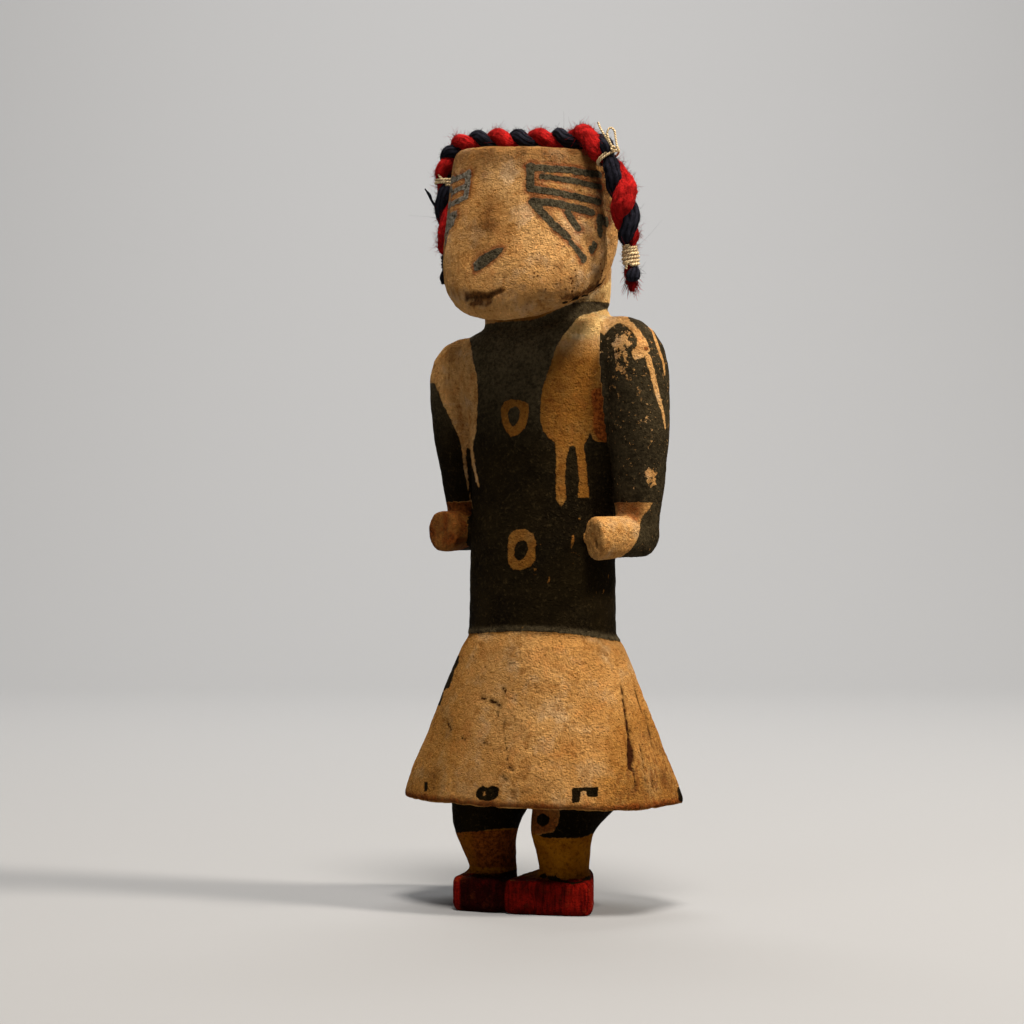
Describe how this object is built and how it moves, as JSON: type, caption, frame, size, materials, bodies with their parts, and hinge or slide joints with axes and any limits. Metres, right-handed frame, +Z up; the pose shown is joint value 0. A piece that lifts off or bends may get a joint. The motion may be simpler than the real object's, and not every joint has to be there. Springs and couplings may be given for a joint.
{
  "type": "kachina doll",
  "caption": "Carved and painted wooden doll with a helmet mask, forearm stubs, a flared kilt and block feet; a red and dark wool braid lies over its head and hangs down at the sides.",
  "frame": {"origin": "on the floor under the middle of the carved figure's bounding box", "axes": "+Z up, -Y the way the doll faces, +X towards the doll's left hand"},
  "size_m": [0.098, 0.0697, 0.2754],
  "materials": {
    "carved_wood": "matte mineral paint in black, tan, ochre and red, worn and flaked on carved cottonwood root",
    "wool": "red wool roving twisted with a dark blue-black yarn, fuzzy",
    "string": "undyed cotton string, matte",
    "dark_thread": "dark wool thread, matte"
  },
  "bodies": {
    "root": {"carved_figure": "carved_wood", "wool_braid": "wool", "left_tie": "string", "right_tie": "string", "left_whipping": "string", "right_whipping": "dark_thread"}
  },
  "joints": []
}
